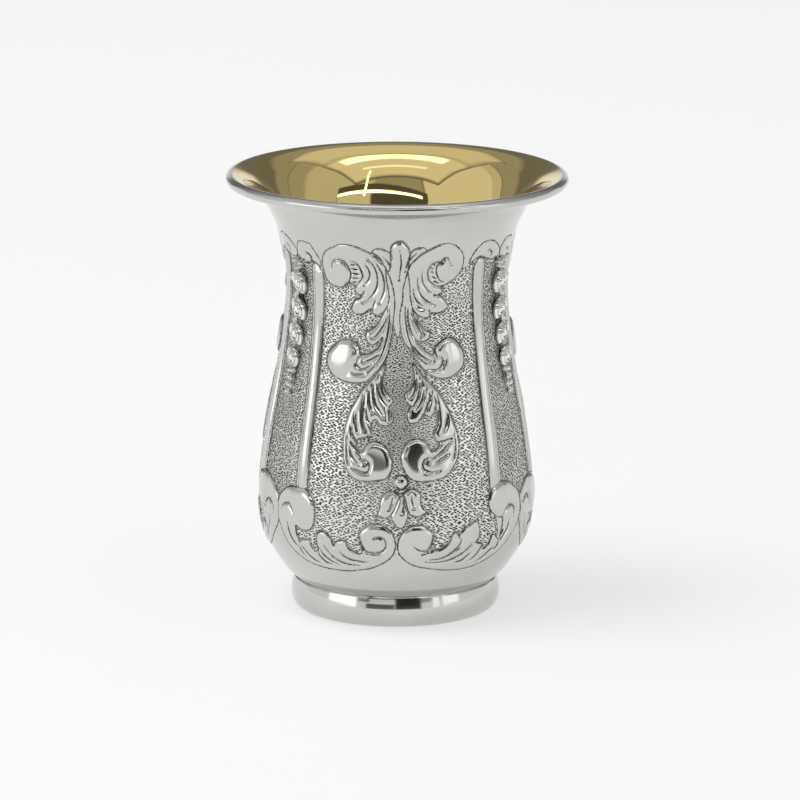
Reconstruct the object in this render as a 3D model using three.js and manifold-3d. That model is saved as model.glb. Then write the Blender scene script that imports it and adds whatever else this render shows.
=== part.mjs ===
// A sterling silver kiddush cup: a raised bowl with a flared lip, chased with three wide panels
// of mirrored acanthus scrolls between upright ribs, on a soldered foot ring, with three cast
// drops of bellflower husks on the narrow panels. Millimetres, +Z up, origin at the centre of
// the foot's underside; the middle of the first wide panel faces -Y.
import * as THREE from 'three';
import { mergeVertices } from 'three/addons/utils/BufferGeometryUtils.js';
import Module from 'manifold-3d';

const wasm = await Module();
wasm.setup();

// ---- driving dimensions ----

const HEIGHT = 84;
const LIP_RADIUS = 32.45;
const LIP_THICKNESS = 1.6;
const WALL = 0.7;
const BELLY_RADIUS = 26.35;
const BELLY_Z = 23;
const WAIST_RADIUS = 21.2;
const WAIST_Z = 63.5;

const FOOT_HEIGHT = 6;
const FOOT_RADIUS = 20;
const FOOT_CONTACT_RADIUS = 17.6;
const FOOT_SEAT_RADIUS = 19.1;
const FOOT_SHEET = 1.2;

const FLOOR_Z = 7.6; // inside bottom of the bowl
const FLOOR_RADIUS = 17;
const UNDERSIDE_Z = 6.8; // bottom of the bowl, recessed inside the foot ring
const UNDERSIDE_RADIUS = 17;

const STEM_RELIEF = 0.55; // how far the scrolls' ridges stand above the ground
const LEAF_RELIEF = 0.5;
const BOSS_RELIEF = 0.8;
const RIB_RELIEF = 0.65;
const SUNK = 0.6; // how deep raised work is rooted in the wall

const PANELS = 3; // wide panels, with a narrow one between each two
const SECTOR = 360 / PANELS;
const RIB_ANGLE = 45; // from the middle of a wide panel to its rib
const DROP_ANGLE = SECTOR / 2 + 2.5; // the drops sit a little past the middles of the narrow panels
const AROUND = 36; // flats round the cup

// ---- wall profile: radius and height, from the foot seat up to the lip's underside ----

const wallCurve = new THREE.CatmullRomCurve3([
  new THREE.Vector3(FOOT_SEAT_RADIUS, FOOT_HEIGHT),
  new THREE.Vector3(21.6, 8.8),
  new THREE.Vector3(23.8, 11.8),
  new THREE.Vector3(25.6, 15.8),
  new THREE.Vector3(BELLY_RADIUS, BELLY_Z),
  new THREE.Vector3(25.8, 30.8),
  new THREE.Vector3(23.7, 42.8),
  new THREE.Vector3(21.9, 54.8),
  new THREE.Vector3(WAIST_RADIUS, WAIST_Z),
  new THREE.Vector3(21.9, 70.8),
  new THREE.Vector3(24.5, 77.8),
  new THREE.Vector3(26.7, 81),
  new THREE.Vector3(LIP_RADIUS - LIP_THICKNESS / 2, HEIGHT - LIP_THICKNESS),
]);

const WALL_STEPS = 15;
const FLARE_CROWDING = 0.3; // draws the steps together towards the lip, where the wall turns most
const wallPoints = Array.from({ length: WALL_STEPS + 1 }, (_, i) => {
  const t = i / WALL_STEPS;
  const p = wallCurve.getPointAt(t + FLARE_CROWDING * t * (1 - t));
  return new THREE.Vector2(p.x, p.y);
});

function wallRadius(z) {
  const above = Math.max(1, wallPoints.findIndex((p) => p.y >= z));
  const [low, high] = [wallPoints[above - 1], wallPoints[above]];
  return THREE.MathUtils.mapLinear(z, low.y, high.y, low.x, high.x);
}

// The inside of the wall: the profile moved along its normals towards the axis.
function insidePoints() {
  return wallPoints.slice(1, -1).map((p, i) => {
    const along = wallPoints[i + 2].clone().sub(wallPoints[i]).normalize();
    return new THREE.Vector2(p.x - along.y * WALL, p.y + along.x * WALL);
  });
}

// ---- the wall's own coordinates: degrees round the cup from -Y towards +X, height, lift ----

function onWall(degrees, z, lift) {
  const a = THREE.MathUtils.degToRad(degrees);
  const radius = wallRadius(z) + lift;
  return [radius * Math.sin(a), -radius * Math.cos(a), z];
}

function millimetresPerDegree(z) {
  return THREE.MathUtils.degToRad(wallRadius(z));
}

// ---- solids ----

function toSolid(geometry) {
  const bare = new THREE.BufferGeometry();
  bare.setAttribute('position', geometry.getAttribute('position'));
  bare.setIndex(geometry.index);
  const merged = mergeVertices(bare, 1e-4);
  return new wasm.Manifold(new wasm.Mesh({
    numProp: 3,
    vertProperties: merged.attributes.position.array,
    triVerts: new Uint32Array(merged.index.array),
  }));
}

function toGeometry(solid) {
  const mesh = solid.getMesh();
  const geometry = new THREE.BufferGeometry();
  geometry.setAttribute('position', new THREE.BufferAttribute(mesh.vertProperties, 3));
  geometry.setIndex(new THREE.BufferAttribute(mesh.triVerts, 1));
  geometry.computeVertexNormals();
  return geometry;
}

// A solid of revolution about +Z. Its points run up the outside and down the inside.
function turned(points) {
  const profile = points.map((p) => new THREE.Vector2(p.x, p.y));
  return new THREE.LatheGeometry(profile, AROUND).rotateX(Math.PI / 2);
}

// A bar joined from the convex blocks between each cross-section and the next.
function bar(sections) {
  const blocks = sections.slice(1).map((next, i) => wasm.Manifold.hull([...sections[i], ...next]));
  return wasm.Manifold.union(blocks);
}

// ---- raised work ----

// A ridged stem or leaf through points of [degrees, height, half width].
function ridge(spine, lift) {
  const spread = (lift + SUNK) / lift; // so that it has its true width where it meets the wall
  return bar(spine.map(([degrees, z, halfWidth], i) => {
    const before = spine[Math.max(i - 1, 0)];
    const after = spine[Math.min(i + 1, spine.length - 1)];
    const k = millimetresPerDegree(z);
    const along = new THREE.Vector2((after[0] - before[0]) * k, after[1] - before[1]).normalize();
    const aside = (-along.y * halfWidth * spread) / k;
    const up = along.x * halfWidth * spread;
    return [
      onWall(degrees + aside, z + up, -SUNK),
      onWall(degrees, z, lift),
      onWall(degrees - aside, z - up, -SUNK),
    ];
  }));
}

function ringOnWall([degrees, z], halfWidth, halfHeight, lift, sides) {
  const k = millimetresPerDegree(z);
  return Array.from({ length: sides }, (_, i) => {
    const a = (2 * Math.PI * i) / sides;
    return onWall(degrees + (halfWidth / k) * Math.cos(a), z + halfHeight * Math.sin(a), lift);
  });
}

const BOSS_SIDES = 7;

// A low dome on the wall: the round end of a scroll.
function boss(middle, halfWidth, halfHeight) {
  const relief = BOSS_RELIEF * Math.min(1, halfWidth / 2.6);
  return wasm.Manifold.hull([
    ...ringOnWall(middle, halfWidth * 1.1, halfHeight * 1.1, -SUNK, BOSS_SIDES),
    ...ringOnWall(middle, halfWidth * 0.66, halfHeight * 0.66, relief * 0.8, BOSS_SIDES),
    onWall(...middle, relief),
  ]);
}

// ---- scrollwork of one half panel: degrees from the panel's middle, height, half width ----

const UPPER_STEM = [
  [3.4, 60, 0.5], [7, 68.6, 1.4], [17, 72.9, 1.4], [31, 73.2, 1.5], [39.6, 69.8, 1.3], [36, 66, 0.3],
];
const MIDDLE_STEM = [
  [2.4, 62, 0.5], [5.2, 56.4, 1.4], [11, 51.4, 1.6], [21, 48.9, 1.2], [32, 49.2, 0.4],
];
const LOWER_STEM = [
  [6, 51.4, 0.5], [14.5, 47.2, 1.1], [21.6, 41.8, 1.3], [22.4, 34.6, 1.3], [16.4, 31, 1.1], [9, 30.6, 0.4],
];
const BASE_STEM = [
  [2, 18.6, 0.4], [8, 14.4, 1.3], [24, 12.9, 1.5], [42, 13.4, 1.5], [55, 18, 1.6], [52, 25.8, 1],
];
const SIDE_STEM = [[43.6, 70.6, 0.3], [48.4, 73.1, 0.9], [54.6, 73, 0.9], [57.4, 69.8, 0.4]];
const STEMS = [UPPER_STEM, MIDDLE_STEM, LOWER_STEM, BASE_STEM, SIDE_STEM];

// The leaflets: where each leaves its stem, its bend, its tip.
const LEAFLETS = [
  [[9, 69, 1.6], [13, 64.8, 2], [24, 62.2, 0.4]],
  [[4.6, 62, 0.9], [9, 59, 1.6], [17, 57, 0.3]],
  [[7, 56.8, 1.1], [12, 54, 1.4], [20.6, 52.8, 0.3]],
  [[11.4, 48.8, 1], [10.2, 44.4, 1.6], [4.4, 41, 0.3]],
  [[14, 13.6, 1], [21, 15.9, 1.4], [27, 18.2, 0.3]],
  [[25, 13.2, 1], [32, 16, 1.8], [35.4, 19.6, 0.3]],
];

// The round ends: place, half width, half height.
const BOSSES = [
  [[31.6, 68.6], 2.6, 2.5],
  [[29.6, 52.2], 3.1, 3.8],
  [[9.2, 33.9], 3.1, 3.6],
  [[10.4, 19.2], 3.6, 2.9],
  [[43.8, 22.8], 3.6, 3.6],
];

// Across the panel's middle: the crown, and the bellflower with its bud.
const CROWN = [[0, 65, 0.8], [0, 71, 2.6], [0, 75.2, 1]];
const BELL = [[0, 28.6, 0.7], [0, 24.6, 1.5], [0, 21, 0.3]];
const BELL_SIDE = [[1, 28, 0.6], [6.2, 27, 1.4], [10.4, 22.9, 0.2]];
const BUD = [[0, 30.4], 1.2, 1.1];

const mirrorPoint = ([degrees, ...rest]) => [-degrees, ...rest];

function panelRidges() {
  const leaves = [...LEAFLETS, BELL_SIDE];
  const allLeaves = [...leaves, ...leaves.map((spine) => spine.map(mirrorPoint)), CROWN, BELL];
  const allStems = [...STEMS, ...STEMS.map((spine) => spine.map(mirrorPoint))];
  return [
    ...allStems.map((spine) => ridge(spine, STEM_RELIEF)),
    ...allLeaves.map((spine) => ridge(spine, LEAF_RELIEF)),
  ];
}

function panelBosses() {
  const otherHalf = BOSSES.map(([middle, ...sizes]) => [mirrorPoint(middle), ...sizes]);
  return [...BOSSES, ...otherHalf, BUD].map((sizes) => boss(...sizes));
}

// ---- ribs: upright reeds that follow the wall ----

const RIB_BOTTOM = 25;
const RIB_TOP = 69.6;
const RIB_HALF_WIDTH = 1.4;
const RIB_LEVELS = 6;
const RIB_SECTION = [[-1.1, -SUNK], [-0.6, RIB_RELIEF], [0.6, RIB_RELIEF], [1.1, -SUNK]];

function rib(degrees) {
  return bar(Array.from({ length: RIB_LEVELS + 1 }, (_, i) => {
    const z = THREE.MathUtils.lerp(RIB_BOTTOM, RIB_TOP, i / RIB_LEVELS);
    const turn = RIB_HALF_WIDTH / millimetresPerDegree(z);
    return RIB_SECTION.map(([across, lift]) => onWall(degrees + across * turn, z, lift));
  }));
}

// ---- bowl ----

function lipEdge() {
  const middle = new THREE.Vector2(LIP_RADIUS - LIP_THICKNESS / 2, HEIGHT - LIP_THICKNESS / 2);
  return [-45, 0, 45, 90].map((degrees) => {
    const a = THREE.MathUtils.degToRad(degrees);
    return new THREE.Vector2(Math.cos(a), Math.sin(a)).multiplyScalar(LIP_THICKNESS / 2).add(middle);
  });
}

function outerForm() {
  return toSolid(turned([
    new THREE.Vector2(0, UNDERSIDE_Z),
    new THREE.Vector2(UNDERSIDE_RADIUS, UNDERSIDE_Z),
    new THREE.Vector2(UNDERSIDE_RADIUS + 0.8, FOOT_HEIGHT),
    ...wallPoints,
    ...lipEdge(),
    new THREE.Vector2(0, HEIGHT),
  ]));
}

function hollow() {
  return toSolid(turned([
    new THREE.Vector2(0, FLOOR_Z),
    new THREE.Vector2(FLOOR_RADIUS, FLOOR_Z),
    ...insidePoints(),
    new THREE.Vector2(LIP_RADIUS - LIP_THICKNESS / 2, HEIGHT),
    new THREE.Vector2(LIP_RADIUS - LIP_THICKNESS / 2, HEIGHT + 1),
    new THREE.Vector2(0, HEIGHT + 1),
  ]));
}

function bowl() {
  const ribs = [rib(-RIB_ANGLE), rib(RIB_ANGLE)];
  const panel = wasm.Manifold.union([...panelRidges(), ...panelBosses(), ...ribs]);
  const panels = Array.from({ length: PANELS }, (_, i) => panel.rotate([0, 0, i * SECTOR]));
  return toGeometry(wasm.Manifold.union([outerForm(), ...panels]).subtract(hollow()).simplify(0.06));
}

// ---- foot ring: a formed band, half round outside, standing on its lower edge ----

function footRing() {
  const bulge = new THREE.QuadraticBezierCurve(
    new THREE.Vector2(FOOT_CONTACT_RADIUS, 0),
    new THREE.Vector2(2 * FOOT_RADIUS - (FOOT_CONTACT_RADIUS + FOOT_SEAT_RADIUS) / 2, 3),
    new THREE.Vector2(FOOT_SEAT_RADIUS, FOOT_HEIGHT),
  );
  const outside = bulge.getPoints(5);
  const inside = bulge.getPoints(2).map((p) => new THREE.Vector2(p.x - FOOT_SHEET, p.y)).reverse();
  return turned([...outside, ...inside, outside[0]]);
}

// ---- husk drops ----

const DROP_TOP = 69.2;
const DROP_GAP = 0.3; // solder line between a drop and the wall
const HUSKS = 5;
const HUSK_LONGEST = 6.4;
const HUSK_SHORTEST = 4.8;
const HUSK_WIDEST = 4;
const HUSK_NARROWEST = 2;
const HUSK_STAND = 2; // how far the largest husk stands off the wall
const OVERLAP = 0.85; // each husk tucks under the one above

// A ridged cross-section of a husk; across is in millimetres from the drop's middle line.
function huskSection(z, across, halfWidth, stand) {
  const k = millimetresPerDegree(z);
  return [
    onWall(DROP_ANGLE + (across - halfWidth) / k, z, DROP_GAP),
    onWall(DROP_ANGLE + across / k, z, stand),
    onWall(DROP_ANGLE + (across + halfWidth) / k, z, DROP_GAP),
  ];
}

// A husk swells from its neck to its shoulder, then parts into three pointed petals.
function husk(top, length, width, stand) {
  const shoulder = top - length * 0.4;
  const neck = huskSection(top, 0, width * 0.2, stand * 0.7);
  const petals = [-1, 0, 1].map((side) => bar([
    huskSection(shoulder, side * width * 0.27, width * 0.25, stand * (side ? 0.85 : 1)),
    huskSection(top - length * (side ? 0.85 : 1), side * width * 0.46, width * 0.08, stand * 0.7),
  ]));
  return [bar([neck, huskSection(shoulder, 0, width * 0.5, stand)]), ...petals];
}

function huskDrop() {
  const petals = [];
  let top = DROP_TOP;
  for (let i = 0; i < HUSKS; i += 1) {
    const share = i / (HUSKS - 1);
    const length = THREE.MathUtils.lerp(HUSK_LONGEST, HUSK_SHORTEST, share);
    const width = THREE.MathUtils.lerp(HUSK_WIDEST, HUSK_NARROWEST, share);
    petals.push(...husk(top, length, width, HUSK_STAND * (1 - 0.45 * share)));
    top -= length * OVERLAP;
  }
  return toGeometry(wasm.Manifold.union(petals).simplify(0.06));
}

// ---- assembly ----

const silver = new THREE.MeshStandardMaterial({ color: 0xd2d2cf, roughness: 0.22, metalness: 1 });
const polished = new THREE.MeshStandardMaterial({ color: 0xdadad8, roughness: 0.1, metalness: 1 });
const cast = new THREE.MeshStandardMaterial({ color: 0xc4c2ba, roughness: 0.3, metalness: 1 });

function piece(name, geometry, material) {
  const mesh = new THREE.Mesh(geometry, material);
  mesh.name = name;
  return mesh;
}

const cup = new THREE.Group();
cup.add(piece('bowl', bowl(), silver));
cup.add(piece('foot_ring', footRing(), polished));

const drop = huskDrop();
['right', 'back', 'left'].forEach((side, i) => {
  const placed = piece(`husk_drop_${side}`, drop, cast);
  placed.rotation.z = THREE.MathUtils.degToRad(i * SECTOR);
  cup.add(placed);
});

export default cup;
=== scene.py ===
import math
import bpy
import numpy as np
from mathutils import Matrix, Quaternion, Vector


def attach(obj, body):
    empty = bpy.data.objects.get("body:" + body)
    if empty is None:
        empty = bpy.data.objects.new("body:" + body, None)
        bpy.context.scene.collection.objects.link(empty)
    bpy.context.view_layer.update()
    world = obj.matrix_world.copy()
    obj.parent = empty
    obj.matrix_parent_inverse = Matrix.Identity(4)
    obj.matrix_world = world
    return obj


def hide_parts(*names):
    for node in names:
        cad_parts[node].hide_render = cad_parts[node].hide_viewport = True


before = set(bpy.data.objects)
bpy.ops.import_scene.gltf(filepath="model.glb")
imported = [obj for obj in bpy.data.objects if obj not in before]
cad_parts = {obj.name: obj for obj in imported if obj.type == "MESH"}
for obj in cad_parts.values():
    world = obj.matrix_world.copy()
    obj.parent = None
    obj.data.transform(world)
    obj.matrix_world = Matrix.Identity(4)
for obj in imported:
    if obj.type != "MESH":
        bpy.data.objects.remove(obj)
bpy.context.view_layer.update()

# ---------------------------------------------------------------------------
# Plain parts of the bowl. One sheet of silver, raised by hammer into a round
# belly, drawn in to a slim waist and turned out into a flat lip with a
# half-round edge. The seat, the neck and the lip are left plain and polished.
# ---------------------------------------------------------------------------
MM = 0.001
SIDES = 270                              # of a plain piece turned about the cup's axis
SEAT_HEIGHT = 5.95                       # where the bowl is soldered to its foot
UNDERSIDE_HEIGHT = 6.8                   # the flat bottom, up inside the foot
CHASING_LOW, CHASING_HIGH = 10.6, 76.8   # heights between which the wall is chased
LIP_THICKNESS = 2.1
LIP_EDGE_RADIUS = 31.4                   # centre of the half-round edge
LIP_EDGE_HEIGHT = 82.95
LIP_EDGE_SWING = (0.15, math.pi * 1.1)   # the edge goes from facing down, out and over, to the gilding
SEAT_RINGS, NECK_RINGS, LIP_RINGS = 20, 34, 18

# (radius, height) of the outside of the wall, from the seat up to the lip
WALL_CURVE = [
    (19.15, 5.95), (19.95, 6.78), (20.8, 7.6), (21.6, 8.6), (23.76, 11.8), (25.58, 15.8),
    (26.32, 20.8), (26.33, 25.8), (25.81, 30.8), (24.87, 36.8), (23.75, 42.8), (22.70, 48.8),
    (21.85, 54.8), (21.25, 60.8), (21.26, 66.8), (21.91, 70.8), (23.08, 74.8), (24.72, 78.2),
    (25.6, 79.7), (26.6, 80.85), (27.9, 81.6), (29.6, 81.9), (31.4, 81.9)]
# and of the flat bottom, from its middle out to the solder line
UNDERSIDE_CURVE = [
    (0.01, UNDERSIDE_HEIGHT), (8, UNDERSIDE_HEIGHT), (16.2, UNDERSIDE_HEIGHT), (17.0, 6.3),
    (17.5, 6.1), (18.0, SEAT_HEIGHT)]


def smooth_through(points, step=0.25, closed=False):
    """A smooth curve through the points, as points about `step` apart."""
    p = np.array(points, float)
    if closed:
        p = np.vstack([p[-1:], p, p[:2]])
    else:
        p = np.vstack([2 * p[0] - p[1], p, 2 * p[-1] - p[-2]])
    out = []
    for a, b, c, d in zip(p[:-3], p[1:-2], p[2:-1], p[3:]):
        n = max(2, int(math.ceil(np.linalg.norm(c - b) / step)))
        t = np.linspace(0, 1, n, endpoint=False)[:, None]
        out.append(0.5 * (2 * b + (c - a) * t + (2 * a - 5 * b + 4 * c - d) * t ** 2
                          + (3 * b - a - 3 * c + d) * t ** 3))
    out.append(p[-2:-1])
    return np.vstack(out)


def outward(profile):
    """Unit normals of a profile of (radius, height), to its right going up."""
    d = np.gradient(np.asarray(profile, float), axis=0)
    n = np.stack([d[:, 1], -d[:, 0]], 1)
    return n / np.linalg.norm(n, axis=1)[:, None]


def run_of(profile):
    """How far along the profile each of its points lies."""
    return np.concatenate([[0], np.cumsum(np.linalg.norm(np.diff(profile, axis=0), axis=1))])


wall = smooth_through(WALL_CURVE, 0.1)
wall_run = run_of(wall)


def wall_at(runs):
    """Points and normals of the outside of the wall at these runs up from the seat."""
    n = outward(wall)
    at = [np.interp(runs, wall_run, column) for column in (*wall.T, *n.T)]
    return np.stack(at[:2], 1), np.stack(at[2:], 1)


def run_at_height(z):
    """The run up the wall from the seat to a height."""
    return np.interp(z, wall[:, 1], wall_run)


def add_piece(name, verts, normals, quads, material, slot):
    """A smooth-shaded piece of the cup, from points in millimetres."""
    mesh = bpy.data.meshes.new(name)
    quads = np.asarray(quads, np.int32)
    mesh.vertices.add(len(verts))
    mesh.vertices.foreach_set("co", (verts * MM).astype(np.float32).ravel())
    mesh.loops.add(quads.size)
    mesh.loops.foreach_set("vertex_index", quads.ravel())
    mesh.polygons.add(len(quads))
    mesh.polygons.foreach_set("loop_start", np.arange(0, quads.size, 4, dtype=np.int32))
    mesh.polygons.foreach_set("loop_total", np.full(len(quads), 4, np.int32))
    mesh.update(calc_edges=True)
    mesh.shade_smooth()
    if normals is not None:
        mesh.normals_split_custom_set_from_vertices(normals.astype(np.float32))
    mesh.materials.append(material)
    piece = bpy.data.objects.new(name, mesh)
    bpy.context.scene.collection.objects.link(piece)
    if slot:
        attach(piece, "root")
    return piece


def quads_of(rows, columns, closed=False):
    """Four corners of every cell of a grid of points, row by row."""
    wide = columns if closed else columns - 1
    i, j = np.meshgrid(np.arange(rows - 1), np.arange(wide), indexing="ij")
    k = (j + 1) % columns
    return np.stack([i * columns + j, i * columns + k,
                     (i + 1) * columns + k, (i + 1) * columns + j], -1).reshape(-1, 4)


def turned(name, profile, normals, sides, material, slot):
    """A piece turned about the cup's axis from a profile of (radius, height)."""
    a = np.arange(sides) * 2 * math.pi / sides
    p, n = np.asarray(profile, float), np.asarray(normals, float)
    sweep = np.stack([np.sin(a), -np.cos(a)], 1)
    verts, norms = (np.concatenate([q[:, None, :1] * sweep, np.repeat(q[:, None, 1:], sides, 1)], 2)
                    .reshape(-1, 3) for q in (p, n))
    return add_piece(name, verts, norms, quads_of(len(p), sides, True), material, slot)


def nodes_of(material):
    """Its node tree, and short ways to add nodes: any one, a sum, a fade and a mix of colours."""
    material.use_nodes = True
    tree = material.node_tree

    def add(kind, values=(), **settings):
        made = tree.nodes.new("ShaderNode" + kind)
        for key, value in settings.items():
            setattr(made, key, value)
        for key, value in dict(values).items():
            if isinstance(value, bpy.types.NodeSocket):
                tree.links.new(value, made.inputs[key])
            else:
                made.inputs[key].default_value = value
        return made

    def calc(operation, *values, clamp=False):
        return add("Math", enumerate(values), operation=operation, use_clamp=clamp).outputs[0]

    def fade(value, low, high):
        """0 at `low`, 1 at `high`, smooth between."""
        return add("MapRange", {"Value": value, "From Min": low, "From Max": high},
                   interpolation_type="SMOOTHSTEP").outputs[0]

    def blend(share, a, b):
        """Colour `a` where the share is 0, `b` where it is 1."""
        made = add("Mix", {0: share}, data_type="RGBA")
        for socket, value in ((made.inputs[6], a), (made.inputs[7], b)):
            if isinstance(value, bpy.types.NodeSocket):
                tree.links.new(value, socket)
            else:
                socket.default_value = (*value, 1)
        return made.outputs[2]

    return tree, add, calc, fade, blend


SILVER = (0.60, 0.598, 0.58)
CLOUD, RUB = 0.06, 0.03                  # what each adds to the roughness


def metal(name):
    """A new all-metal material, its shader, and the ways to add nodes to it."""
    material = bpy.data.materials.new(name)
    nodes = nodes_of(material)
    shader = nodes[0].nodes["Principled BSDF"]
    shader.inputs["Metallic"].default_value = 1
    return material, shader, nodes


def hand_polish(nodes, tone, roughness):
    """What polishing by hand leaves: faint cloudiness in the tone, and fine rubbing marks."""
    _, add, calc, fade, blend = nodes
    place = add("TexCoord").outputs["Object"]
    cloud = add("TexNoise", {"Vector": place, "Scale": 90, "Detail": 3}).outputs[0]
    rub = add("TexNoise", {"Vector": place, "Scale": 1500, "Detail": 2}).outputs[0]
    clouded = blend(fade(cloud, 0.3, 0.75), [c * 0.95 for c in tone], tone)
    rough = calc("MULTIPLY_ADD", cloud, CLOUD, roughness - (CLOUD + RUB) / 2)
    return place, cloud, clouded, calc("MULTIPLY_ADD", rub, RUB, rough)


def polished_silver(name, roughness):
    """Silver polished by hand, with the slight swell that the hammer leaves."""
    material, shader, nodes = metal(name)
    tree, add, *_ = nodes
    _, cloud, clouded, rough = hand_polish(nodes, SILVER, roughness)
    tree.links.new(clouded, shader.inputs["Base Color"])
    tree.links.new(rough, shader.inputs["Roughness"])
    swell = add("Bump", {"Height": cloud, "Strength": 0.03, "Distance": 0.0004})
    tree.links.new(swell.outputs[0], shader.inputs["Normal"])
    return material


neck_silver = polished_silver("neck_silver", 0.16)

seat_curve, seat_normals = wall_at(np.linspace(0, run_at_height(CHASING_LOW), SEAT_RINGS))
underside_normals = np.tile((0, -1), (len(UNDERSIDE_CURVE), 1))
turned("bowl_seat", np.vstack([UNDERSIDE_CURVE, seat_curve]),
       np.vstack([underside_normals, seat_normals]), SIDES, neck_silver, "chased_silver")

neck_curve, neck_normals = wall_at(np.linspace(run_at_height(CHASING_HIGH), wall_run[-1], NECK_RINGS))
swing = np.linspace(*LIP_EDGE_SWING, LIP_RINGS)[:, None]
edge_normals = np.hstack([np.sin(swing), -np.cos(swing)])
edge_curve = np.array([LIP_EDGE_RADIUS, LIP_EDGE_HEIGHT]) + edge_normals * LIP_THICKNESS / 2
neck = turned("neck_and_lip", np.vstack([neck_curve, edge_curve]),
              np.vstack([neck_normals, edge_normals]), SIDES, neck_silver, "chased_silver")
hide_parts("bowl")

# ---------------------------------------------------------------------------
# Chased wall. The silver is worked from outside with punches: scrolled leaves,
# a bellflower and smooth bosses stand up from a matted ground, between half-
# round ribs. Three equal panels go round the cup, blackened in the recesses, with
# painted shade beside the raised forms and in parts of the matting.
# ---------------------------------------------------------------------------
PANEL = 120.0                    # degrees of the cup that one panel fills
PANEL_TURN = 1.8                 # the front panel sits this far round to the right
COLUMNS, ROWS = 270, 365         # cells of one panel, around and up
MEAN_RADIUS = 23.5               # of the chased wall, for millimetres over it
LEAST_RADIUS = 20                # the chased wall is nowhere slimmer
GROUND_DROP = 0.24               # the matted ground lies this far below the plain wall
GROUND_EDGE = (-0.05, 0.35)      # where its slope starts, inside a form's outline, and its width
LINE_HALF_WIDTH = 0.14           # a chased line
LINE_DEPTH = 0.24
LINE_SIDE = 0.28                 # width of the slope down into it
CREASE_DEPTH = 0.12              # a soft crease follows each outline
CREASE_WIDTH = 0.16
CHASING_FADE = 0.8               # height over which the chasing runs out, below and above

# Outlines are (degrees round from the front, height). Each raised form has:
# height of its rounded shoulder, width of the shoulder, rise of its dome, and
# how strongly its outline is chased.
RIB = (0.40, 0.85, 0.08, 0.8)
LEAF = (0.15, 0.45, 0.04, 0.75)
STEM = (0.15, 0.45, 0.05, 0.75)
PETAL = (0.20, 0.5, 0.08, 0.75)
STALK = (0.12, 0.5, 0.0, 0.0)
CURL = (0.10, 0.7, 0.08, 0.0)            # swells out of the form that it ends
BOSS = (0.09, 0.8, 0.22, 0.0)

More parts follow.
